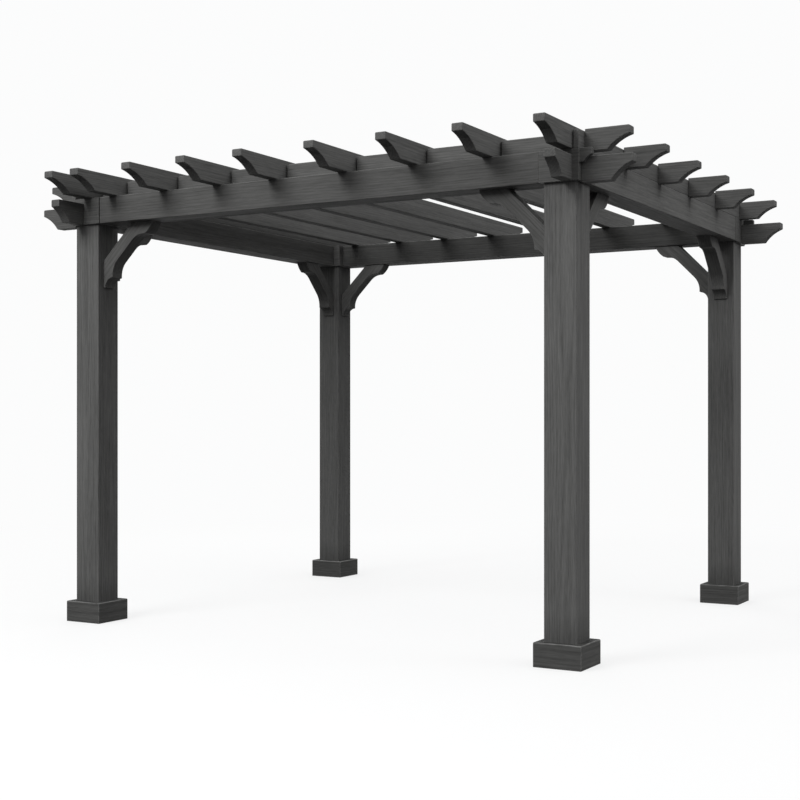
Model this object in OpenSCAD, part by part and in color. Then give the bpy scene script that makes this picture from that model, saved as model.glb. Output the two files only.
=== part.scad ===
// Wooden garden pergola: four posts with base skirts, a ring of beams on post heads,
// knee braces, and an open roof of rafters with shaped tails.
// X runs along the front, Y from front to back, Z up from the ground.

/* [Posts] */
// Side of each square post
post_w = 150; // [100:1:200]
// Distance between post centres along the front
post_span_x = 2640; // [2000:10:4000]
// Distance between post centres from front to back
post_span_y = 2310; // [2000:10:4000]
// Height of the beams' undersides above the ground
headroom = 2052; // [1900:5:2600]

/* [Base skirts] */
// Outer side of the square skirt round each post's foot
skirt_w = 220; // [205:1:300]
// Height of the skirt
skirt_h = 106; // [50:1:200]
// Slope cut on the skirt's upper edge
skirt_ease = 8; // [2:0.5:16]

/* [Heads and beams] */
// Height of the beams and of the heads that join them
beam_h = 133; // [110:1:200]
// Thickness of the built-up beams
beam_t = 140; // [110:1:150]
// How far each head stands out from its post's faces
head_proud = 17; // [2:1:30]
// Reach of the small scooped shoulder on each head's outer corner
shoulder_out = 56; // [45:1:120]
// Height of the shoulder
shoulder_h = 58; // [45:1:80]
// Height of the upright nose on the shoulder
shoulder_nose = 28; // [15:1:40]
// Length of the hollow cut under the shoulder
shoulder_cut = 38; // [20:1:44]
// Set-back of the shoulder from the head's corner
shoulder_set = 4; // [1:0.5:12]

/* [Beam tails] */
// Thickness of the tails and of the rafters
tail_t = 52; // [30:1:60]
// Distance from a head's corner to the tail beside it
tail_inset = 30; // [26:1:45]
// Height of the beam tails
tail_h = 108; // [90:1:125]
// Reach of the tails that point along the front
tail_out_x = 225; // [140:5:400]
// Reach of the tails that point to the front and to the back
tail_out_y = 180; // [120:5:400]
// How far the tails along the front hang below the beams
tail_drop = 8; // [0:1:30]
// Height of the upright nose on a beam tail
tail_nose = 35; // [20:1:60]
// Length of the hollow cut under the tails along the front
tail_cut_x = 95; // [60:1:115]
// Length of the hollow cut under the tails to the front and to the back
tail_cut_y = 75; // [50:1:115]

/* [Rafters] */
// Height of the rafters
rafter_h = 98; // [80:1:140]
// Reach of the rafters past the beams' outer faces
rafter_out = 285; // [200:5:500]
// Distance between rafter centres in the right-hand half, set out from the right end
rafter_pitch = 370; // [250:1:600]
// Distance between rafter centres in the left-hand half, set out from the left end
rafter_pitch_left = 330; // [250:1:600]
// Distance between the centres of the first two rafters on the left
rafter_first = 168; // [110:1:300]
// Set-back of the first rafter on the left from the line of the tails
rafter_set = 54; // [0:1:80]
// Smallest distance between the centres of the two middle rafters
rafter_gap = 110; // [80:1:200]
// Height of the upright nose on a rafter
rafter_nose = 34; // [20:1:50]
// Length of the hollow cut under a rafter's end
rafter_cut = 130; // [60:1:180]

/* [Side tails] */
// Number of short tails along each side
side_count = 6; // [3:1:10]
// Height of the short side tails
side_h = 95; // [75:1:120]
// Reach of the short side tails
side_out = 200; // [140:5:400]
// Height of the upright nose on a side tail
side_nose = 34; // [20:1:50]
// Length of the hollow cut under a side tail
side_cut = 100; // [60:1:130]
// Distance from a head's corner to the middle of the first side tail
side_inset = 90; // [60:5:300]
// Height of the side tails' tops above the rim board
side_rise = 10; // [0:1:20]
// Thickness of the rim board that carries the side tails
rim_t = 25; // [15:1:30]
// Height of the rim boards and of the front blocking
rim_h = 80; // [50:1:90]
// Set-back of the front blocking from the beam's outer face
blocking_set = 75; // [20:1:90]
// Thickness of the front blocking
blocking_t = 40; // [20:1:45]

/* [Knee braces] */
// Length of a brace along the post and along the beam
brace_leg = 325; // [250:5:500]
// Thickness of a brace
brace_t = 75; // [40:1:110]
// Depth of a brace across its slope
brace_depth = 65; // [50:1:80]
// Width of the nose at a brace's foot
brace_nose = 11; // [6:1:24]
// Radius of the hollow above the nose, and reach of the rounded end under the beam
brace_cove = 50; // [35:1:60]
// Length of the flat beside the hollow and beside the rounded end
brace_flat = 10; // [4:1:20]
// Radius of the turn from each flat into the slope
brace_turn = 110; // [60:5:130]

/* [Shaping] */
// Angle that the hollow under a tail turns through
hollow_sweep = 36; // [20:1:60]
// Rounding of the upper corner of a tail's nose
nose_round = 7; // [2:0.5:12]

/* [Hidden] */
$fn = 96;
head_w = post_w + 2 * head_proud;
beam_top = headroom + beam_h;
outer_x = post_span_x / 2 + head_w / 2;
outer_y = post_span_y / 2 + head_w / 2;
beam_len_x = post_span_x - head_w;
beam_len_y = post_span_y - head_w;
tail_x = outer_x - tail_inset - tail_t / 2;
tail_y = outer_y - tail_inset - tail_t / 2;
rafter_len = 2 * (outer_y + rafter_out);
left_start = rafter_set - tail_x;
left_count = 2 + floor((-left_start - rafter_first - rafter_gap / 2) / rafter_pitch_left);
right_count = 1 + floor((tail_x - rafter_gap / 2) / rafter_pitch);
rafter_count = left_count + right_count;
side_z = beam_top + rim_h + side_rise - side_h;
side_y = outer_y - side_inset;
side_pitch = 2 * side_y / (side_count - 1);

// Centre of rafter i, counted from the left: even steps from each end, the middle bay takes the rest
function rafter_x(i) =
    i == 0 ? left_start
    : i < left_count ? left_start + rafter_first + (i - 1) * rafter_pitch_left
    : tail_x - (rafter_count - 1 - i) * rafter_pitch;

CORNERS = ["front_left", "front_right", "back_left", "back_right"];
SIDE_X = [-1, 1, -1, 1];
SIDE_Y = [-1, -1, 1, 1];
RAFTERS = [for (i = [0 : rafter_count - 1]) str("rafter_", i + 1)];
KINDS = ["post_", "skirt_", "head_", "tails_", "brace_x_", "brace_y_"];

// Moves a piece made for the back right corner to corner i
module at_corner(i) {
    mirror([SIDE_X[i] < 0 ? 1 : 0, 0, 0])
        mirror([0, SIDE_Y[i] < 0 ? 1 : 0, 0])
            translate([post_span_x / 2, post_span_y / 2, 0]) children();
}

// Stands a side view up along X, with its thickness centred on Y
module board_x(thick) {
    rotate([90, 0, 0]) linear_extrude(thick, center = true) children();
}

// Stands a side view up along Y, with its thickness centred on X
module board_y(thick) {
    rotate([90, 0, 90]) linear_extrude(thick, center = true) children();
}

// What is cut from a board's end at reach: a hollow under the nose and the nose's upper corner
module end_cut(reach, height, nose, cut) {
    drop = height - nose;
    chord = norm([cut, drop]);
    radius = chord / (2 * sin(hollow_sweep / 2));
    stand_off = radius * cos(hollow_sweep / 2) / chord;
    translate([reach - cut / 2 + drop * stand_off, drop / 2 - cut * stand_off]) circle(radius);
    translate([reach - nose_round, height - nose_round]) difference() {
        square(2 * nose_round);
        circle(nose_round);
    }
}

// Side view of a short tail that starts at its root
module tail_side(reach, height, nose, cut) {
    difference() {
        square([reach, height]);
        end_cut(reach, height, nose, cut);
    }
}

// Side view of a rafter with a tail at both ends
module rafter_side() {
    difference() {
        translate([-rafter_len / 2, 0]) square([rafter_len, rafter_h]);
        for (flip = [0, 1])
            mirror([flip, 0]) end_cut(rafter_len / 2, rafter_h, rafter_nose, rafter_cut);
    }
}

// Side view of a brace: the corner of post and beam at the origin, X down the beam, Y down the post
module brace_side() {
    flat = brace_nose + brace_cove;
    flat_end = brace_leg - brace_cove;
    flat_start = flat_end - brace_flat;
    turn_len = brace_turn * tan(45 / 2);
    turn_far = flat_start - turn_len * (1 + sqrt(1 / 2));
    turn_near = flat + turn_len * sqrt(1 / 2);
    shoulder = turn_far + turn_near - sqrt(2) * brace_depth;
    end_chord = norm([brace_cove, flat]);
    end_radius = end_chord / (2 * sin(hollow_sweep / 2));
    stand_off = end_radius * cos(hollow_sweep / 2) / end_chord;
    difference() {
        polygon([
            [shoulder, 0], [brace_leg, 0], [flat_end, flat], [flat_start, flat], [turn_far, turn_near],
            [turn_near, turn_far], [flat, flat_start], [flat, brace_leg], [0, brace_leg], [0, shoulder]
        ]);
        translate([flat, brace_leg]) circle(brace_cove);
        translate([flat + brace_turn, flat_start]) circle(brace_turn);
        translate([flat_start, flat + brace_turn]) circle(brace_turn);
    }
    intersection() {
        translate([brace_leg - brace_cove / 2 - flat * stand_off, flat / 2 - brace_cove * stand_off])
            circle(end_radius);
        polygon([[flat_end, flat], [brace_leg, 0], [brace_leg, flat]]);
    }
}

module post(i) {
    color("#5a5a5a") at_corner(i) translate([-post_w / 2, -post_w / 2, 0]) cube([post_w, post_w, headroom]);
}

module skirt(i) {
    color("#5e5e5e") at_corner(i) difference() {
        translate([-skirt_w / 2, -skirt_w / 2, 0]) cube([skirt_w, skirt_w, skirt_h]);
        translate([-post_w / 2, -post_w / 2, -1]) cube([post_w, post_w, skirt_h + 2]);
        for (turn = [0 : 90 : 270])
            rotate([0, 0, turn]) translate([skirt_w / 2, 0, skirt_h])
                rotate([0, 45, 0]) cube([sqrt(2) * skirt_ease, 2 * skirt_w, sqrt(2) * skirt_ease], center = true);
    }
}

module head(i) {
    color("#555555") at_corner(i) translate([0, 0, headroom]) {
        translate([-head_w / 2, -head_w / 2, 0]) cube([head_w, head_w, beam_h]);
        translate([head_w / 2, head_w / 2 - (tail_inset + shoulder_set) / 2, beam_h - shoulder_h])
            board_x(tail_inset - shoulder_set)
                tail_side(shoulder_out, shoulder_h, shoulder_nose, shoulder_cut);
    }
}

module tails(i) {
    color("#505050") at_corner(i) {
        translate([head_w / 2, tail_y - post_span_y / 2, headroom - tail_drop])
            board_x(tail_t) tail_side(tail_out_x, tail_h, tail_nose, tail_cut_x);
        translate([tail_x - post_span_x / 2, head_w / 2, headroom])
            board_y(tail_t) tail_side(tail_out_y, tail_h, tail_nose, tail_cut_y);
    }
}

module brace_x(i) {
    color("#525252") at_corner(i) translate([-post_w / 2, 0, headroom])
        mirror([1, 0, 0]) mirror([0, 0, 1]) board_x(brace_t) brace_side();
}

module brace_y(i) {
    color("#525252") at_corner(i) translate([0, -post_w / 2, headroom])
        mirror([0, 1, 0]) mirror([0, 0, 1]) board_y(brace_t) brace_side();
}

// Beam along X on the front (-1) or the back (1)
module beam_x(side) {
    color("#555555") translate([0, side * (outer_y - beam_t / 2), headroom + beam_h / 2])
        cube([beam_len_x, beam_t, beam_h], center = true);
}

// Beam along Y on the left (-1) or the right (1)
module beam_y(side) {
    color("#505050") translate([side * (outer_x - beam_t / 2), 0, headroom + beam_h / 2])
        cube([beam_t, beam_len_y, beam_h], center = true);
}

module rafter(i) {
    color("#4c4c4c") translate([rafter_x(i), 0, beam_top]) board_y(tail_t) rafter_side();
}

module blocking_front() {
    color("#575757") for (i = [1 : rafter_count - 1]) {
        left = rafter_x(i - 1) + tail_t / 2;
        right = rafter_x(i) - tail_t / 2;
        translate([left, -outer_y + blocking_set, beam_top]) cube([right - left, blocking_t, rim_h]);
    }
}

// Rim board on the left (-1) or the right (1)
module rim(side) {
    color("#505050") translate([side * (outer_x - rim_t / 2), 0, beam_top + rim_h / 2])
        cube([rim_t, 2 * outer_y, rim_h], center = true);
}

// Row of short tails on the left (-1) or the right (1)
module side_tails(side) {
    color("#4e4e4e") mirror([side < 0 ? 1 : 0, 0, 0]) for (i = [0 : side_count - 1])
        translate([outer_x, -side_y + i * side_pitch, side_z])
            board_x(tail_t) tail_side(side_out, side_h, side_nose, side_cut);
}

for (i = [0 : 3]) post(i);
for (i = [0 : 3]) skirt(i);
for (i = [0 : 3]) head(i);
for (i = [0 : 3]) tails(i);
for (i = [0 : 3]) brace_x(i);
for (i = [0 : 3]) brace_y(i);
beam_x(-1);  // beam_front
beam_x(1);  // beam_back
beam_y(-1);  // beam_left
beam_y(1);  // beam_right
for (i = [0 : rafter_count - 1]) rafter(i);
blocking_front();
rim(-1);  // rim_left
rim(1);  // rim_right
side_tails(-1);  // side_tails_left
side_tails(1);  // side_tails_right
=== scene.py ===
import math
import random

import bmesh
import bpy
from mathutils import Matrix, Vector


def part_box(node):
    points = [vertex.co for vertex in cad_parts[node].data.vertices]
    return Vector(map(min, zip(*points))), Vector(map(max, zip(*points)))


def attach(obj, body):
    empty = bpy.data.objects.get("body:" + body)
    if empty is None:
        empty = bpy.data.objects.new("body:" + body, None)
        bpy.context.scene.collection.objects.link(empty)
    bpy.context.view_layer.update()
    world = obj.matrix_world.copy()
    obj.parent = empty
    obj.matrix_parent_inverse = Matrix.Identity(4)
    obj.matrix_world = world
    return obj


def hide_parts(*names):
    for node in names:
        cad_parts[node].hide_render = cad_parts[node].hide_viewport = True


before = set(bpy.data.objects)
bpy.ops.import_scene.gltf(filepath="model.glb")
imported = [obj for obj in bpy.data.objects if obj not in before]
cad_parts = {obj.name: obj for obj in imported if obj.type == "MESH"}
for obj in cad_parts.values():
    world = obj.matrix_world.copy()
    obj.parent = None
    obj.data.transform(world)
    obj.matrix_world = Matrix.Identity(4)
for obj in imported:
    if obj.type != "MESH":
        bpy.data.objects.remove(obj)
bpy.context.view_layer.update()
scene = bpy.context.scene
scene.view_settings.view_transform = "Standard"


# Camera
# The picture is taken from about chest height, out past the right-hand front post. The camera is
# level, so that the posts stay upright, and its view is shifted up a little.
picture_width = 800
focal_pixels = 1374
horizon_below_centre = 15.1
sensor_width = 36.0
camera_place = (3.610, -6.599, 1.068)
camera_heading = 0.5191
camera_data = bpy.data.cameras.new("camera")
camera_data.sensor_width = sensor_width
camera_data.lens = sensor_width * focal_pixels / picture_width
camera_data.shift_y = horizon_below_centre / picture_width
camera = bpy.data.objects.new("camera", camera_data)
camera.location = camera_place
camera.rotation_euler = (math.radians(90), 0, camera_heading)
scene.collection.objects.link(camera)
scene.camera = camera


# Ground and light
# A pale studio floor that keeps a faint shadow round the feet and fades into a white surround.
# The light is a soft sky, brighter overhead, with a broad high lamp in front and weaker ones on the
# right and behind.
class Wire:
    """An output of a node. Sums on wires add the Math nodes that they stand for."""

    def __init__(self, socket):
        self.socket = socket
        self.tree = socket.id_data

    @staticmethod
    def node(tree, kind, settings=None, sockets=None, out=0):
        """Adds a node: its settings first, then the values or wires of its sockets."""
        made = tree.nodes.new(kind)
        for name, value in (settings or {}).items():
            setattr(made, name, value)
        for name, value in (sockets or {}).items():
            wires = value if isinstance(value, list) else [value]
            for wire in wires:
                if isinstance(wire, Wire):
                    tree.links.new(wire.socket, made.inputs[name])
                else:
                    made.inputs[name].default_value = wire
        return Wire(made.outputs[out])

    def math(self, operation, *others):
        values = dict(enumerate((self, *others)))
        return Wire.node(self.tree, "ShaderNodeMath", {"operation": operation}, values)

    def __add__(self, other):
        return self.math("ADD", other)

    __radd__ = __add__

    def __sub__(self, other):
        return self.math("SUBTRACT", other)

    def __rsub__(self, other):
        return self.math("MULTIPLY_ADD", -1.0, other)

    def __mul__(self, other):
        return self.math("MULTIPLY", other)

    __rmul__ = __mul__

    def __truediv__(self, other):
        return self.math("DIVIDE", other)

    def step(self, low, high):
        """Rises smoothly from 0 at low to 1 at high."""
        limits = {"Value": self, "From Min": low, "From Max": high}
        return Wire.node(self.tree, "ShaderNodeMapRange", {"interpolation_type": "SMOOTHSTEP"}, limits)


def seen_directly(tree):
    """1 for rays that show the white surround, and 0 for rays that carry light."""
    paths = tree.nodes.new("ShaderNodeLightPath")
    kinds = ["Is Camera Ray", "Is Glossy Ray", "Is Transmission Ray"]
    camera_ray, glossy_ray, transmission_ray = (Wire(paths.outputs[kind]) for kind in kinds)
    return camera_ray.math("MAXIMUM", glossy_ray).math("MAXIMUM", transmission_ray)


white = (0.972, 0.974, 0.975, 1)
sky_low = 0.32
sky_high = 1.60
sky_rise = (0.0, 0.9)
world = bpy.data.worlds.new("studio_sky")
world.use_nodes = True
scene.world = world
sky = world.node_tree
sky.nodes.clear()
direction = Wire.node(sky, "ShaderNodeTexCoord", out="Generated")
upward = Wire.node(sky, "ShaderNodeSeparateXYZ", sockets={0: direction}, out="Z")
sky_level = sky_low + (sky_high - sky_low) * upward.step(*sky_rise)
sky_light = Wire.node(sky, "ShaderNodeBackground", sockets={"Strength": sky_level})
surround = Wire.node(sky, "ShaderNodeBackground", sockets={"Color": white, "Strength": 1.0})
sky_parts = {0: seen_directly(sky), 1: sky_light, 2: surround}
sky_mix = Wire.node(sky, "ShaderNodeMixShader", sockets=sky_parts)
sky_end = sky.nodes.new("ShaderNodeOutputWorld")
sky.links.new(sky_mix.socket, sky_end.inputs["Surface"])

floor_radius = 14.0
floor_sides = 96
floor_drop = 0.0005
floor_fade = (3.6, 6.5)
floor_veil = 0.75
floor_colour = (0.74, 0.742, 0.743, 1)
floor_bounce = (0.05, 0.05, 0.05, 1)
floor_mesh = bpy.data.meshes.new("floor")
floor_shape = bmesh.new()
bmesh.ops.create_circle(floor_shape, cap_ends=True, segments=floor_sides, radius=floor_radius)
bmesh.ops.translate(floor_shape, verts=floor_shape.verts, vec=(0, 0, -floor_drop))
floor_shape.to_mesh(floor_mesh)
floor_shape.free()
floor = bpy.data.objects.new("floor", floor_mesh)
scene.collection.objects.link(floor)
floor_finish = bpy.data.materials.new("pale_floor")
floor_finish.use_nodes = True
ground = floor_finish.node_tree
ground.nodes.clear()
floor_point = Wire.node(ground, "ShaderNodeTexCoord", out="Object")
from_centre = Wire.node(ground, "ShaderNodeVectorMath", {"operation": "LENGTH"}, {0: floor_point}, "Value")
veil = floor_veil + (1 - floor_veil) * from_centre.step(*floor_fade)
shaded = Wire.node(ground, "ShaderNodeBsdfDiffuse", sockets={"Color": floor_colour})
glow = Wire.node(ground, "ShaderNodeEmission", sockets={"Color": white, "Strength": 1.0})
seen_floor = Wire.node(ground, "ShaderNodeMixShader", sockets={0: veil, 1: shaded, 2: glow})
bounce = Wire.node(ground, "ShaderNodeBsdfDiffuse", sockets={"Color": floor_bounce})
floor_parts = {0: seen_directly(ground), 1: bounce, 2: seen_floor}
floor_mix = Wire.node(ground, "ShaderNodeMixShader", sockets=floor_parts)
ground_end = ground.nodes.new("ShaderNodeOutputMaterial")
ground.links.new(floor_mix.socket, ground_end.inputs["Surface"])
floor_mesh.materials.append(floor_finish)


def soft_lamp(name, place, aim, size, power):
    """A square lamp that shines from place towards aim."""
    lamp_data = bpy.data.lights.new(name, "AREA")
    lamp_data.size = size
    lamp_data.energy = power
    lamp = bpy.data.objects.new(name, lamp_data)
    lamp.location = place
    lamp.rotation_euler = (Vector(aim) - Vector(place)).to_track_quat("-Z", "Y").to_euler()
    scene.collection.objects.link(lamp)


roof_middle = (0, 0, 1.4)
soft_lamp("front_lamp", place=(-2.0, -7.2, 6.2), aim=roof_middle, size=3.5, power=400)
soft_lamp("right_lamp", place=(8.0, 0.5, 7.0), aim=roof_middle, size=4.0, power=165)
soft_lamp("rear_lamp", place=(-6.0, 7.0, 5.0), aim=roof_middle, size=4.0, power=150)


# Posts
# Four square softwood posts, planed, eased along their edges and stained charcoal grey.
# They stand flat on the ground, with painted shade near it, and carry a head each.
merge_gap = 1e-5
flat_angle = math.radians(0.5)
sharp_angle = math.radians(24)
smooth_angle = math.radians(12)
ease_steps = 2
ease_profile = 0.5


def copy_of(node):
    """A mended copy of a CAD node's shape: corners merged, and flat faces joined up."""
    shape = bmesh.new()
    shape.from_mesh(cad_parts[node].data)
    bmesh.ops.remove_doubles(shape, verts=shape.verts, dist=merge_gap)
    bmesh.ops.dissolve_limit(shape, angle_limit=flat_angle, verts=shape.verts, edges=shape.edges)
    return shape


def boards_in(shape):
    """The separate boards of a shape, each a list of its faces."""
    boards = []
    met = set()
    for first in shape.faces:
        if first in met:
            continue
        met.add(first)
        board = [first]
        for face in board:
            for edge in face.edges:
                for other in edge.link_faces:
                    if other not in met:
                        met.add(other)
                        board.append(other)
        boards.append(board)
    return boards


def box_of(board):
    """The lowest and the highest corner of a board's box."""
    points = [vert.co for face in board for vert in face.verts]
    low = Vector([min(p[i] for p in points) for i in range(3)])
    return low, Vector([max(p[i] for p in points) for i in range(3)])


def longest_side(board):
    """The axis along which a board is longest, which is the way its grain runs."""
    low, high = box_of(board)
    size = list(high - low)
    along = Vector((0, 0, 0))
    along[size.index(max(size))] = 1.0
    return along


def lay_grain(shape, name, along_face=None):
    """Writes each corner's place in its tree: along the grain, and across it from the pith."""
    tree_places = [(0, 60), (0.02, 0.09), (0.05, 0.16)]
    level_limit = 0.1
    grain = shape.loops.layers.float_vector.new("grain")
    dice = random.Random(name)
    for board in boards_in(shape):
        points = [vert.co for face in board for vert in face.verts]
        middle = sum(points, Vector()) / len(points)
        board_along = longest_side(board)
        from_pith = Vector([dice.uniform(*span) for span in tree_places])
        for face in board:
            along = along_face(face) if along_face else board_along
            level = abs(along.z) <= level_limit
            across = along.cross((0, 0, 1)) if level else along.orthogonal().normalized()
            through = along.cross(across)
            for loop in face.loops:
                reach = loop.vert.co - middle
                loop[grain] = from_pith + Vector([reach.dot(way) for way in (along, across, through)])


def set_up(shape, name, wood, ease, nodes, along_face=None):
    """Eases a shape's edges, lays its grain and puts it in the place of its CAD nodes."""
    worn = shape.faces.layers.float.new("worn")
    edges = [edge for edge in shape.edges if edge.calc_face_angle(0) > sharp_angle]
    rounding = {"offset": ease, "segments": ease_steps, "profile": ease_profile}
    eased = bmesh.ops.bevel(shape, geom=edges, affect="EDGES", clamp_overlap=True, **rounding)
    for face in eased["faces"]:
        face[worn] = 1.0
    bmesh.ops.remove_doubles(shape, verts=shape.verts, dist=merge_gap)
    bmesh.ops.recalc_face_normals(shape, faces=shape.faces)
    lay_grain(shape, name, along_face)
    for face in shape.faces:
        face.smooth = True
    mesh = bpy.data.meshes.new(name)
    shape.to_mesh(mesh)
    shape.free()
    mesh.set_sharp_from_angle(angle=smooth_angle)
    mesh.materials.append(wood)
    piece = bpy.data.objects.new(name, mesh)
    scene.collection.objects.link(piece)
    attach(piece, "root")
    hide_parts(*nodes)


def stained_wood(name, stain, edge_stain, painted_ground_shade=0.0):
    """Charcoal-stained softwood: growth rings, stain streaks, fine fibre and paler rubbed edges.

    Faces marked as darkened are darker, which on undersides is painted shade, and the last argument is
    the share of painted shade that darkens the wood near the ground."""
    ring_gap = 0.009
    ring_wander = 0.05
    ring_sharpness = 2.5
    ring_mean = 0.3
    in_tone = {"streak": 0.72, "fibre": 0.8, "patch": 0.45, "ring": -0.15}
    in_relief = {"fibre": 0.5, "streak": 0.35, "ring": 0.25}
    in_roughness = {"streak": -0.5, "ring": -0.1, "fibre": 0.2}
    roughness_mean = 0.67
    relief_strength = 0.45
    relief_depth = 0.0012
    sheen = 0.04
    darkened_share = 0.5
    painted_ground_shade_heights = (0.10, 0.26)
    rub_limits = (-0.22, 0.12)
    rub_share = 0.75
    wood = bpy.data.materials.new(name)
    wood.use_nodes = True
    tree = wood.node_tree
    tree.nodes.clear()
    grain = Wire.node(tree, "ShaderNodeAttribute", {"attribute_name": "grain"}, out="Vector")
    worn = Wire.node(tree, "ShaderNodeAttribute", {"attribute_name": "worn"}, out="Fac")
    damp = Wire.node(tree, "ShaderNodeAttribute", {"attribute_name": "damp"}, out="Fac")
    place = Wire.node(tree, "ShaderNodeTexCoord", out="Object")
    above_ground = Wire.node(tree, "ShaderNodeSeparateXYZ", sockets={0: place}, out="Z")
    # Painted shade on undersides and near the ground, and darker skirt tops, together darken the stain.
    painted_shade_and_dark_tops = darkened_share * damp + painted_ground_shade * (1 - above_ground.step(*painted_ground_shade_heights))

    def noise(stretch, detail, roughness):
        """Noise from -0.5 to 0.5, drawn out along the grain."""
        drawn = Wire.node(tree, "ShaderNodeMapping", sockets={"Vector": grain, "Scale": stretch})
        sockets = {"Vector": drawn, "Scale": 1.0, "Detail": detail, "Roughness": roughness}
        return Wire.node(tree, "ShaderNodeTexNoise", sockets=sockets) - 0.5

    wander = noise(stretch=(0.8, 6, 6), detail=2.0, roughness=0.5)
    patch = noise(stretch=(1.1, 5, 5), detail=2.0, roughness=0.5)
    streak = noise(stretch=(3, 95, 95), detail=4.0, roughness=0.6)
    fibre = noise(stretch=(16, 280, 280), detail=3.0, roughness=0.6)
    flat_grain = Wire.node(tree, "ShaderNodeMapping", sockets={"Vector": grain, "Scale": (0, 1, 1)})
    from_pith = Wire.node(tree, "ShaderNodeVectorMath", {"operation": "LENGTH"}, {0: flat_grain}, "Value")
    ring_turns = (from_pith + ring_wander * wander) * (2 * math.pi / ring_gap)
    late_wood = (0.5 + 0.5 * ring_turns.math("SINE")).math("POWER", ring_sharpness)
    patterns = {"streak": streak, "fibre": fibre, "patch": patch, "ring": late_wood - ring_mean}

    def blend(level, shares):
        """A level that varies by these shares of the patterns."""
        for pattern, share in shares.items():
            level = level + share * patterns[pattern]
        return level

    shade = blend(1, in_tone) * (1 - painted_shade_and_dark_tops)
    stained = Wire.node(tree, "ShaderNodeVectorMath", {"operation": "SCALE"}, {0: stain, "Scale": shade})
    rubbed = worn * (streak + fibre).step(*rub_limits)
    mixed = {0: rub_share * rubbed, 6: stained, 7: (*edge_stain, 1)}
    colour = Wire.node(tree, "ShaderNodeMix", {"data_type": "RGBA"}, mixed, out=2)
    relief = {"Strength": relief_strength, "Distance": relief_depth, "Height": blend(0, in_relief)}
    bump = Wire.node(tree, "ShaderNodeBump", sockets=relief)
    rough = blend(roughness_mean, in_roughness)
    looks = {"Base Color": colour, "Roughness": rough, "Normal": bump, "Specular IOR Level": sheen}
    surface = Wire.node(tree, "ShaderNodeBsdfPrincipled", sockets=looks)
    end = tree.nodes.new("ShaderNodeOutputMaterial")
    tree.links.new(surface.socket, end.inputs["Surface"])
    return wood


corners = ["front_left", "front_right", "back_left", "back_right"]
post_ease = 0.004
post_stain = (0.117, 0.117, 0.115)
post_edge_stain = (0.14, 0.14, 0.137)
# Painted shade: the posts are painted darker near the ground.
post_painted_ground_shade = 0.28
post_wood = stained_wood("charcoal_post", post_stain, post_edge_stain, post_painted_ground_shade)
for corner in corners:
    node = "post_" + corner
    set_up(copy_of(node), node + "_timber", post_wood, post_ease, [node])


# Base skirts
# A ring of four boards round each post's foot, mitred at the corners, with a narrow slope along the
# upper edge. The grain runs level along each board. The edges are rubbed pale and the tops are darker.
skirt_slope = 0.003
skirt_ease = 0.0025
skirt_top_darkened = 1.0
skirt_stain = (0.086, 0.086, 0.084)
skirt_edge_stain = (0.24, 0.24, 0.236)
skirt_wood = stained_wood("charcoal_skirt", skirt_stain, skirt_edge_stain)


def mitred_ring(inner, outer, height, slope, centre):
    """A square ring whose four sides meet on the corners' diagonals."""
    shape = bmesh.new()
    section = [(inner, 0), (outer, 0), (outer, height - slope), (outer - slope, height), (inner, height)]
    rings = []
    for x, y in [(1, 1), (-1, 1), (-1, -1), (1, -1)]:
        places = [centre + Vector((x * half, y * half, z)) for half, z in section]
        rings.append([shape.verts.new(place) for place in places])
    for one, other in zip(rings, rings[1:] + rings[:1]):
        for k in range(len(section)):
            after = (k + 1) % len(section)
            shape.faces.new((one[k], one[after], other[after], other[k]))
    bmesh.ops.recalc_face_normals(shape, faces=shape.faces)
    return shape


def mark_darkened(shape, way, share):
    """Marks the faces that look up, for way 1, or down, for way -1, as darker by this share.
    On undersides this darkening is painted shade.
    """
    level_face = 0.9
    damp = shape.faces.layers.float.new("damp")
    for face in shape.faces:
        face[damp] = share if way * face.normal.z > level_face else 0.0


for corner in corners:
    node = "skirt_" + corner
    skirt_low, skirt_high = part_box(node)
    post_low, post_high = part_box("post_" + corner)
    middle = Vector(((skirt_low.x + skirt_high.x) / 2, (skirt_low.y + skirt_high.y) / 2, 0))
    outer = (skirt_high.x - skirt_low.x) / 2
    inner = (post_high.x - post_low.x) / 2
    ring = mitred_ring(inner, outer, skirt_high.z, skirt_slope, middle)
    mark_darkened(ring, 1, skirt_top_darkened)

    def level_along(face):
        """Level, along the side of the ring that a face is on."""
        out = face.calc_center_median() - middle
        return Vector((0, 1, 0)) if abs(out.x) > abs(out.y) else Vector((1, 0, 0))

    set_up(ring, node + "_boards", skirt_wood, skirt_ease, [node], level_along)


# Heads and beams
# A block on each post's top ties the four beams into a ring, and has a small scooped shoulder.
# The beams butt against the heads, with a fine eased groove at each joint and a wider one at two.
head_ease = 0.0035
head_stain = (0.098, 0.098, 0.096)
beam_ease = 0.004
beam_edge_stain = (0.15, 0.15, 0.147)
# Painted light and shade: each beam's stain depth differs, darkest on the shaded back beam, palest on the
# right.
beam_lit_and_shaded_stains = {"front": 0.096, "back": 0.060, "left": 0.094, "right": 0.124}
blue_share = 0.98
beam_gaps = {"front": (0.006, 0), "back": (0, 0), "left": (0, 0), "right": (0, 0.006)}
gap_depth = 0.014
# Painted shade: the undersides of the beams, most of all the front and right ones, are painted darker.
underside_painted_shade = {"front": 1.2, "back": 0.1, "left": 0.1, "right": 1.2}


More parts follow.
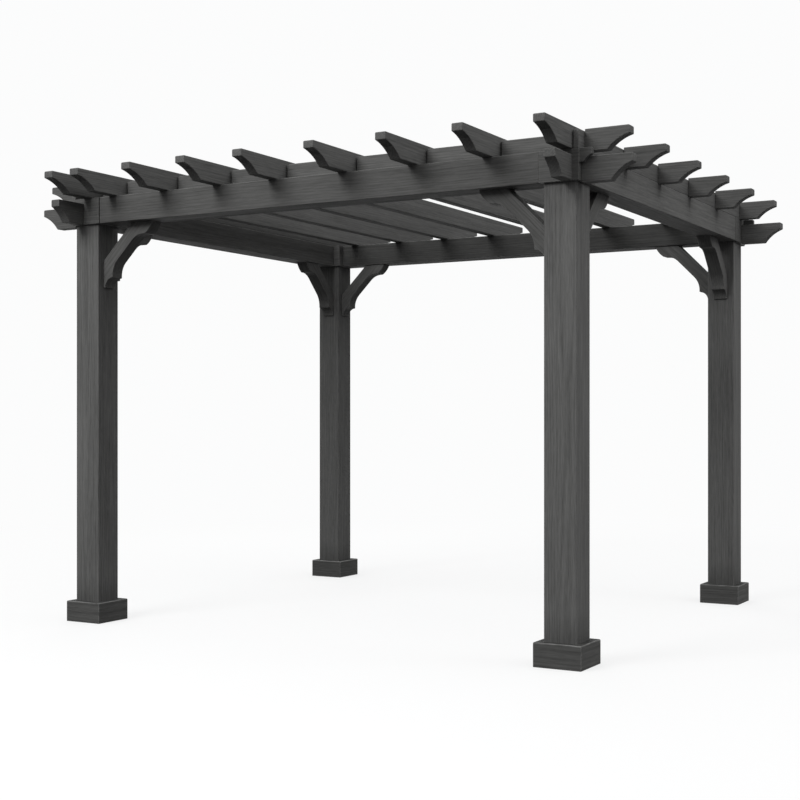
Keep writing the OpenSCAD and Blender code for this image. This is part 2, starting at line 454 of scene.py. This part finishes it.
def gapped_board(low, high, along, gaps):
    """A board whose faces stop short of its ends by these gaps, which show dark beside a neighbour."""
    across = 1 - along
    near, far = low[across], high[across]
    ends = []
    for end, stop in [(low[along], low[along] + gaps[0]), (high[along], high[along] - gaps[1])]:
        if end == stop:
            ends.append([(end, near), (end, far)])
        else:
            tongue = [(end, near + gap_depth), (end, far - gap_depth)]
            face_stops = [(stop, near), (stop, near + gap_depth), (stop, far - gap_depth), (stop, far)]
            ends.append(face_stops[:2] + tongue + face_stops[2:])
    shape = bmesh.new()
    base = []
    for length, side in ends[0][::-1] + ends[1]:
        place = Vector((0, 0, low.z))
        place[along] = length
        place[across] = side
        base.append(shape.verts.new(place))
    raised = bmesh.ops.extrude_face_region(shape, geom=[shape.faces.new(base)])["geom"]
    top = [part for part in raised if isinstance(part, bmesh.types.BMVert)]
    bmesh.ops.translate(shape, verts=top, vec=(0, 0, high.z - low.z))
    bmesh.ops.recalc_face_normals(shape, faces=shape.faces)
    return shape


head_wood = stained_wood("charcoal_beam", head_stain, beam_edge_stain)
head_along = Vector((1, 0, 0))
for corner in corners:
    node = "head_" + corner
    set_up(copy_of(node), node + "_block", head_wood, head_ease, [node], lambda face: head_along)
for side, depth in beam_lit_and_shaded_stains.items():
    node = "beam_" + side
    lit_and_shaded_beam_wood = stained_wood("charcoal_" + node, (depth, depth, blue_share * depth), beam_edge_stain)
    beam_low, beam_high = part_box(node)
    beam = gapped_board(beam_low, beam_high, 0 if side in ("front", "back") else 1, beam_gaps[side])
    mark_darkened(beam, -1, underside_painted_shade[side])
    set_up(beam, node + "_timber", lit_and_shaded_beam_wood, beam_ease, [node])


# Beam tails
# Short boards that carry each beam's line on past the heads, with a hollow sawn under a blunt nose.
# They are fixed to the heads' outer faces, set in from the corner.
board_ease = 0.003
tail_nose = 0.035
tail_cut_x = 0.095
tail_cut_y = 0.075
tail_stain = (0.099, 0.099, 0.097)
tail_edge_stain = (0.15, 0.15, 0.147)
nose_round = 0.007
hollow_sweep = math.radians(36)
hollow_points = 18
round_points = 5
weld_gap = 1e-5


def sizes_in(tree, sizes):
    """Gives a tree its named inputs and returns a wire for each."""
    for name, kind in sizes.items():
        tree.interface.new_socket(name, in_out="INPUT", socket_type="NodeSocket" + kind)
    given = tree.nodes.new("NodeGroupInput")
    return {name: Wire(given.outputs[name]) for name in sizes}


def point(tree, x, y):
    """A point of an outline."""
    return Wire.node(tree, "ShaderNodeCombineXYZ", sockets={"X": x, "Y": y})


def saw_line(tree, start, end):
    """A straight stroke of an outline."""
    ends = {"Start": start, "End": end}
    return Wire.node(tree, "GeometryNodeCurvePrimitiveLine", {"mode": "POINTS"}, ends)


def saw_arc(tree, start, middle, end, points):
    """A round stroke of an outline, through its middle."""
    ends = {"Resolution": points, "Start": start, "Middle": middle, "End": end}
    return Wire.node(tree, "GeometryNodeCurveArc", {"mode": "POINTS"}, ends)


def welded(tree, geometry):
    """Geometry with the points merged where its parts meet."""
    sockets = {"Geometry": geometry, "Distance": weld_gap}
    return Wire.node(tree, "GeometryNodeMergeByDistance", sockets=sockets)


def boards_from(tree, strokes, given):
    """Closes the strokes into an outline, gives it thickness and sets it out in a row."""
    drawn = Wire.node(tree, "GeometryNodeJoinGeometry", sockets={0: strokes})
    edges = Wire.node(tree, "GeometryNodeCurveToMesh", sockets={"Curve": drawn})
    outline = Wire.node(tree, "GeometryNodeMeshToCurve", sockets={"Mesh": welded(tree, edges)})
    face = Wire.node(tree, "GeometryNodeFillCurve", {"mode": "NGONS"}, {"Curve": outline})
    thick = {"Mesh": face, "Offset Scale": given["Thickness"], "Individual": False}
    raised = Wire.node(tree, "GeometryNodeExtrudeMesh", sockets=thick)
    underside = Wire.node(tree, "GeometryNodeFlipFaces", sockets={"Mesh": face})
    closed = Wire.node(tree, "GeometryNodeJoinGeometry", sockets={0: [raised, underside]})
    half_back = Wire.node(tree, "ShaderNodeCombineXYZ", sockets={"Z": -0.5 * given["Thickness"]})
    moved = {"Geometry": welded(tree, closed), "Translation": half_back}
    centred = Wire.node(tree, "GeometryNodeTransform", sockets=moved)
    row = {"Count": given["Count"], "Start Location": given["Place"], "Offset": given["Spacing"]}
    places = Wire.node(tree, "GeometryNodeMeshLine", sockets=row)
    hung = {"Points": places, "Instance": centred, "Rotation": given["Turn"]}
    copies = Wire.node(tree, "GeometryNodeInstanceOnPoints", sockets=hung)
    real = Wire.node(tree, "GeometryNodeRealizeInstances", sockets={"Geometry": copies})
    finish = {"Geometry": real, "Material": given["Wood"]}
    stained = Wire.node(tree, "GeometryNodeSetMaterial", sockets=finish)
    tree.interface.new_socket("Boards", in_out="OUTPUT", socket_type="NodeSocketGeometry")
    result = tree.nodes.new("NodeGroupOutput")
    tree.links.new(stained.socket, result.inputs["Boards"])


placing = {"Count": "Int", "Place": "Vector", "Spacing": "Vector", "Turn": "Vector", "Wood": "Material"}
scooped = bpy.data.node_groups.new("scooped_board", "GeometryNodeTree")
scooped_sizes = ["Reach", "Height", "Thickness", "Nose", "Cut", "Sweep", "Round"]
given = sizes_in(scooped, {**{name: "Float" for name in scooped_sizes}, "Both Ends": "Bool", **placing})
reach, height, nose, cut, round_off = (given[name] for name in ["Reach", "Height", "Nose", "Cut", "Round"])
drop = height - nose
chord = (cut * cut + drop * drop).math("SQRT")
sag = 0.5 * chord * (0.25 * given["Sweep"]).math("TANGENT")
corner_sag = (1 - math.sqrt(0.5)) * round_off
hollow_start = point(scooped, reach - cut, 0.0)
hollow_middle = point(scooped, reach - 0.5 * cut - sag * drop / chord, 0.5 * drop + sag * cut / chord)
hollow_end = point(scooped, reach, drop)
nose_top = point(scooped, reach, height - round_off)
nose_corner = point(scooped, reach - corner_sag, height - corner_sag)
nose_back = point(scooped, reach - round_off, height)
root_low = point(scooped, 0.0, 0.0)
root_high = point(scooped, 0.0, height)
end_strokes = [
    saw_line(scooped, root_low, hollow_start),
    saw_arc(scooped, hollow_start, hollow_middle, hollow_end, hollow_points),
    saw_line(scooped, hollow_end, nose_top),
    saw_arc(scooped, nose_top, nose_corner, nose_back, round_points),
    saw_line(scooped, nose_back, root_high),
]
sawn_end = Wire.node(scooped, "GeometryNodeJoinGeometry", sockets={0: end_strokes})
mirrored = {"Geometry": sawn_end, "Scale": (-1, 1, 1)}
other_end = Wire.node(scooped, "GeometryNodeTransform", sockets=mirrored)
flat_root = saw_line(scooped, root_high, root_low)
choice = {"Switch": given["Both Ends"], "False": flat_root, "True": other_end}
far_side = Wire.node(scooped, "GeometryNodeSwitch", {"input_type": "GEOMETRY"}, choice)
boards_from(scooped, [sawn_end, far_side], given)


def grown(tree, values):
    """The shape that a tree makes from these sizes."""
    holder = bpy.data.objects.new("holder", bpy.data.meshes.new("holder"))
    scene.collection.objects.link(holder)
    maker = holder.modifiers.new("maker", "NODES")
    maker.node_group = tree
    for item in tree.interface.items_tree:
        if item.in_out == "INPUT":
            maker[item.identifier] = values[item.name]
    result = bpy.data.meshes.new_from_object(holder.evaluated_get(bpy.context.evaluated_depsgraph_get()))
    bpy.data.objects.remove(holder)
    shape = bmesh.new()
    shape.from_mesh(result)
    bpy.data.meshes.remove(result)
    return shape


def joined(shapes):
    """One shape that holds several."""
    whole = bmesh.new()
    for shape in shapes:
        part = bpy.data.meshes.new("part")
        shape.to_mesh(part)
        shape.free()
        whole.from_mesh(part)
        bpy.data.meshes.remove(part)
    return whole


def board_box(node, along):
    """The box of the board in a CAD node that runs along the given way."""
    shape = copy_of(node)
    boxes = [box_of(board) for board in boards_in(shape) if longest_side(board).dot(along) != 0]
    shape.free()
    return boxes[0]


def board_sizes(low, high, along):
    """A short board's reach, height and thickness, and the middle of its lower root edge."""
    way = Vector(along)
    size = high - low
    root = (low + high) / 2 - way * abs(size.dot(way)) / 2
    root.z = low.z
    side = abs(size.x * way.y) + abs(size.y * way.x)
    return {"Reach": abs(size.dot(way)), "Height": size.z, "Thickness": side, "Place": root}


def turn_to(along, up):
    """The turn that lays a board's length along one way and its height along another."""
    along, up = Vector(along), Vector(up)
    return tuple(Matrix((along, up, along.cross(up))).transposed().to_euler())


tail_wood = stained_wood("charcoal_tail", tail_stain, tail_edge_stain)
up = (0, 0, 1)
one_board = {"Round": nose_round, "Sweep": hollow_sweep, "Count": 1, "Spacing": (0, 0, 0)}
for corner in corners:
    node = "tails_" + corner
    way_x = -1 if corner.endswith("left") else 1
    way_y = -1 if corner.startswith("front") else 1
    pair = []
    for along, cut_length in [((way_x, 0, 0), tail_cut_x), ((0, way_y, 0), tail_cut_y)]:
        sizes = board_sizes(*board_box(node, along), along)
        sawing = {**one_board, **sizes, "Nose": tail_nose, "Cut": cut_length, "Both Ends": False}
        pair.append(grown(scooped, {**sawing, "Turn": turn_to(along, up), "Wood": tail_wood}))
    set_up(joined(pair), node + "_boards", tail_wood, board_ease, [node])


# Knee braces
# Two thick shaped brackets in the corner of each post and its beams: a straight upper edge, a hollow
# foot, a rounded end under the beam and a long slope between two turns. The grain follows the slope.
brace_depth = 0.065
brace_nose = 0.011
brace_cove = 0.050
brace_flat = 0.010
brace_bend = 0.110
brace_stain = (0.100, 0.100, 0.098)
brace_edge_stain = (0.15, 0.15, 0.147)
cove_points = 9
bend_points = 9
brace_tree = bpy.data.node_groups.new("knee_brace", "GeometryNodeTree")
brace_sizes = ["Leg", "Thickness", "Depth", "Nose", "Cove", "Flat", "Bend", "Sweep"]
given = sizes_in(brace_tree, {**{name: "Float" for name in brace_sizes}, **placing})
leg, nose, cove, bend = (given[name] for name in ["Leg", "Nose", "Cove", "Bend"])
half_bend = math.radians(45 / 2)
flat = nose + cove
flat_end = leg - cove
flat_start = flat_end - given["Flat"]
bend_length = math.tan(half_bend) * bend
slope_far = flat_start - (1 + math.sqrt(0.5)) * bend_length
slope_near = flat + math.sqrt(0.5) * bend_length
shoulder = slope_far + slope_near - math.sqrt(2) * given["Depth"]
bend_far = flat_start - math.sin(half_bend) * bend
bend_near = flat + (1 - math.cos(half_bend)) * bend
bulge = 0.5 * (0.25 * given["Sweep"]).math("TANGENT")
cove_share = math.sqrt(0.5) * cove
brace_points = [
    (shoulder, 0.0),
    (leg, 0.0),
    (flat_end, flat),
    (flat_start, flat),
    (slope_far, slope_near),
    (slope_near, slope_far),
    (flat, flat_start),
    (flat, flat_end),
    (nose, leg),
    (0.0, leg),
    (0.0, shoulder),
]
marks = [point(brace_tree, x, y) for x, y in brace_points]
round_strokes = {
    1: (point(brace_tree, leg - 0.5 * cove + bulge * flat, 0.5 * flat + bulge * cove), cove_points),
    3: (point(brace_tree, bend_far, bend_near), bend_points),
    5: (point(brace_tree, bend_near, bend_far), bend_points),
    7: (point(brace_tree, flat - cove_share, leg - cove_share), cove_points),
}
brace_strokes = []
for k, mark in enumerate(marks):
    following = marks[(k + 1) % len(marks)]
    if k in round_strokes:
        middle, points = round_strokes[k]
        brace_strokes.append(saw_arc(brace_tree, mark, middle, following, points))
    else:
        brace_strokes.append(saw_line(brace_tree, mark, following))
boards_from(brace_tree, brace_strokes, given)

brace_wood = stained_wood("charcoal_brace", brace_stain, brace_edge_stain)
brace_shape = {"Depth": brace_depth, "Nose": brace_nose, "Cove": brace_cove, "Flat": brace_flat}
brace_shape.update({"Bend": brace_bend, "Sweep": hollow_sweep})
for corner in corners:
    in_x = 1 if corner.endswith("left") else -1
    in_y = 1 if corner.startswith("front") else -1
    for way, inward in [("x", Vector((in_x, 0, 0))), ("y", Vector((0, in_y, 0)))]:
        node = f"brace_{way}_{corner}"
        brace_low, brace_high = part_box(node)
        size = brace_high - brace_low
        side_way = Vector((1, 1, 0)) - Vector(map(abs, inward))
        place = (brace_low + brace_high) / 2 - 0.5 * size.z * inward + Vector((0, 0, 0.5 * size.z))
        sizes = {**brace_shape, "Leg": size.z, "Thickness": size.dot(side_way)}
        setting = {"Count": 1, "Place": place, "Spacing": (0, 0, 0), "Wood": brace_wood}
        shape = grown(brace_tree, {**sizes, **setting, "Turn": turn_to(inward, (0, 0, -1))})
        slope = (inward + Vector((0, 0, 1))).normalized()
        set_up(shape, node + "_bracket", brace_wood, board_ease, [node], lambda face: slope)


# Rafters
# Nine long boards on edge, laid across the front and back beams, sawn like the tails at both ends.
# They are set out from both ends, with a narrow bay on the left and a wide one in the middle.
rafter_nose = 0.034
rafter_cut = 0.130
# Painted shade: the rafters' undersides are painted darker.
rafter_underside_painted_shade = 1.0
rafter_stain = (0.112, 0.112, 0.110)
rafter_edge_stain = (0.14, 0.14, 0.137)
rafter_count = sum(name.startswith("rafter_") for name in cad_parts)
rafter_wood = stained_wood("charcoal_rafter", rafter_stain, rafter_edge_stain)
for number in range(1, rafter_count + 1):
    node = f"rafter_{number}"
    low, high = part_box(node)
    middle = (low + high) / 2
    rafter_thickness = high.x - low.x
    sizes = {"Reach": high.y - middle.y, "Height": high.z - low.z, "Thickness": rafter_thickness}
    sawing = {**one_board, **sizes, "Nose": rafter_nose, "Cut": rafter_cut, "Both Ends": True}
    place = Vector((middle.x, middle.y, low.z))
    shape = grown(scooped, {**sawing, "Place": place, "Turn": turn_to((0, 1, 0), up), "Wood": rafter_wood})
    mark_darkened(shape, -1, rafter_underside_painted_shade)
    set_up(shape, node + "_board", rafter_wood, board_ease, [node])


# Blocking and rim boards
# Short blocks stand between the rafters on the front beam and keep them upright. A thin rim board
# along each side, against the end rafter, backs the side tails.
block_ease = 0.0025
block_gaps = (0.007, 0.007)
cad_blocks = copy_of("blocking_front")
blocks = joined(gapped_board(*box_of(block), 0, block_gaps) for block in boards_in(cad_blocks))
cad_blocks.free()
set_up(blocks, "blocking_front_boards", rafter_wood, block_ease, ["blocking_front"])
for node in ["rim_left", "rim_right"]:
    set_up(copy_of(node), node + "_boards", rafter_wood, block_ease, [node])


# Side tails
# A row of short boards along each side, as thick as the rafters and sawn like their ends, fixed to
# the rim board, so that the roof shows the same edge on all four sides.
side_nose = 0.034
side_cut = 0.100
side_count = 6
for side, way_x in [("left", -1), ("right", 1)]:
    node = "side_tails_" + side
    low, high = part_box(node)
    root_x = low.x if way_x > 0 else high.x
    first = Vector((root_x, low.y + rafter_thickness / 2, low.z))
    spacing = Vector((0, (high.y - low.y - rafter_thickness) / (side_count - 1), 0))
    sizes = {"Reach": high.x - low.x, "Height": high.z - low.z, "Thickness": rafter_thickness}
    sawing = {**one_board, **sizes, "Nose": side_nose, "Cut": side_cut, "Both Ends": False}
    row = {"Count": side_count, "Place": first, "Spacing": spacing, "Wood": tail_wood}
    shape = grown(scooped, {**sawing, **row, "Turn": turn_to((way_x, 0, 0), up)})
    set_up(shape, node + "_boards", tail_wood, board_ease, [node])
